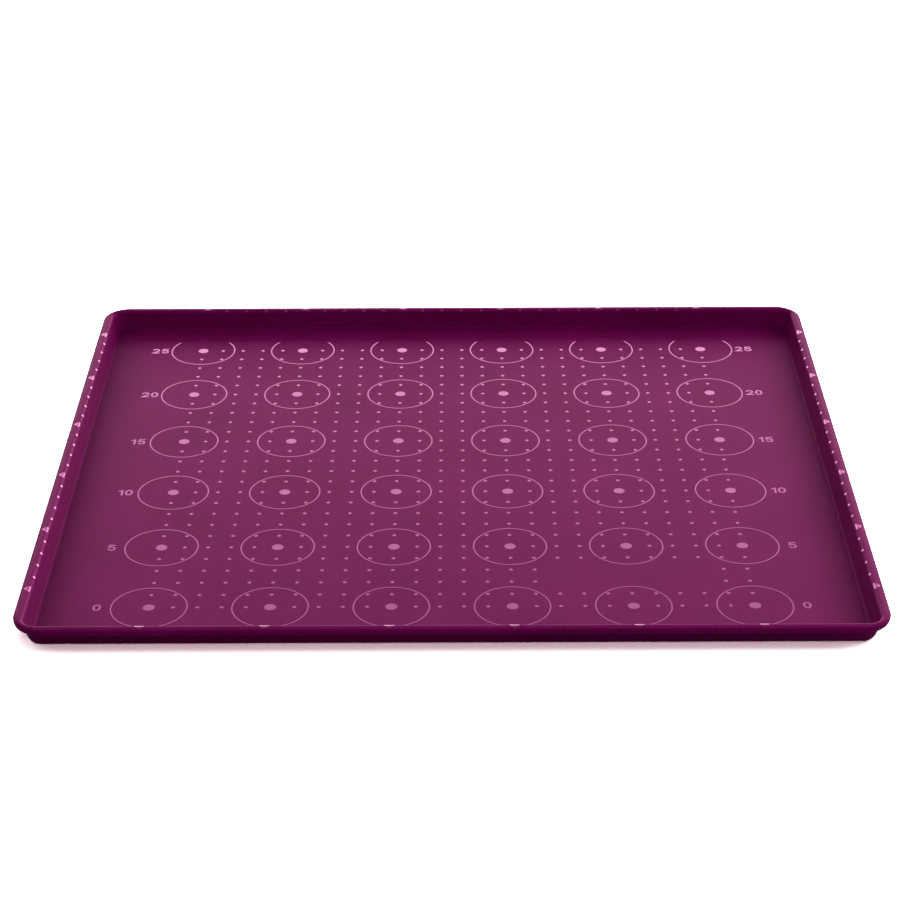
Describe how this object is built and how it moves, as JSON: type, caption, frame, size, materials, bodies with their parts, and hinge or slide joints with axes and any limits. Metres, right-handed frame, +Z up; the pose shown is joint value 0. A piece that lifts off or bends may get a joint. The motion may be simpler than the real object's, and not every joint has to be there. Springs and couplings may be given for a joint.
{
  "type": "silicone baking sheet",
  "caption": "Shallow rectangular silicone baking sheet with leaning walls, a rounded overhanging rim and polished guide rings on its floor for piping biscuits.",
  "frame": {"origin": "middle of the flat underside, on the surface that the sheet rests on", "axes": "+X along the long side, towards the right as the numerals read; +Y away from the reader; +Z up, out of the tray"},
  "size_m": [0.354, 0.3162, 0.0105],
  "materials": {
    "matte_silicone": "matt plum silicone, fine moulded texture",
    "polished_silicone": "polished marks of the same silicone, pink sheen"
  },
  "bodies": {
    "root": {"tray": "matte_silicone", "guide_ring_x00_y00": "polished_silicone", "guide_ring_x05_y00": "polished_silicone", "guide_ring_x10_y00": "polished_silicone", "guide_ring_x15_y00": "polished_silicone", "guide_ring_x20_y00": "polished_silicone", "guide_ring_x25_y00": "polished_silicone", "guide_ring_x00_y05": "polished_silicone", "guide_ring_x05_y05": "polished_silicone", "guide_ring_x10_y05": "polished_silicone", "guide_ring_x15_y05": "polished_silicone", "guide_ring_x20_y05": "polished_silicone", "guide_ring_x25_y05": "polished_silicone", "guide_ring_x00_y10": "polished_silicone", "guide_ring_x05_y10": "polished_silicone", "guide_ring_x10_y10": "polished_silicone", "guide_ring_x15_y10": "polished_silicone", "guide_ring_x20_y10": "polished_silicone", "guide_ring_x25_y10": "polished_silicone", "guide_ring_x00_y15": "polished_silicone", "guide_ring_x05_y15": "polished_silicone", "guide_ring_x10_y15": "polished_silicone", "guide_ring_x15_y15": "polished_silicone", "guide_ring_x20_y15": "polished_silicone", "guide_ring_x25_y15": "polished_silicone", "guide_ring_x00_y20": "polished_silicone", "guide_ring_x05_y20": "polished_silicone", "guide_ring_x10_y20": "polished_silicone", "guide_ring_x15_y20": "polished_silicone", "guide_ring_x20_y20": "polished_silicone", "guide_ring_x25_y20": "polished_silicone", "guide_ring_x00_y25": "polished_silicone", "guide_ring_x05_y25": "polished_silicone", "guide_ring_x10_y25": "polished_silicone", "guide_ring_x15_y25": "polished_silicone", "guide_ring_x20_y25": "polished_silicone", "guide_ring_x25_y25": "polished_silicone"}
  },
  "joints": []
}
